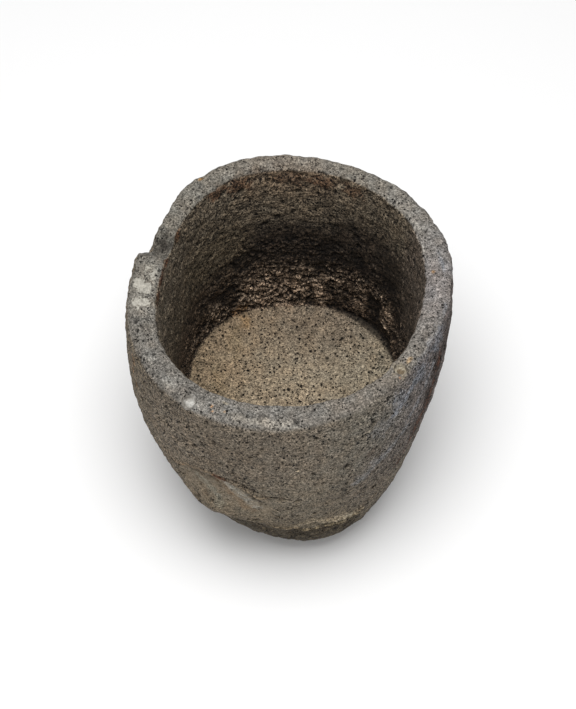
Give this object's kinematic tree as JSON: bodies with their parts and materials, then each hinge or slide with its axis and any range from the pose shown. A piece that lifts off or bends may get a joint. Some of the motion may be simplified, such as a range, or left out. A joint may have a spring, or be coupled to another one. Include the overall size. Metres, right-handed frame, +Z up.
{
  "type": "molcajete",
  "caption": "Deep stone molcajete: a tapering mortar carved from one block of vesicular volcanic stone, with a round cavity, a flat floor and a notch in its rim.",
  "frame": {"origin": "on the flat resting face under the foot, on the upright line through the middle of the mouth", "axes": "+Z up out of the mouth; -Y is the front; the notch in the rim is on the -X side, towards the back"},
  "size_m": [0.2551, 0.2641, 0.2416],
  "materials": {
    "stone": "rough and porous",
    "lime": "matt, chalky crust",
    "pebble": "matt mineral"
  },
  "bodies": {
    "root": {"stone_vessel": "stone", "lime_crust_upper": "lime", "lime_crust_middle": "lime", "lime_crust_lower": "lime", "white_pebble": "pebble", "ringed_pebble": "pebble"}
  },
  "joints": []
}
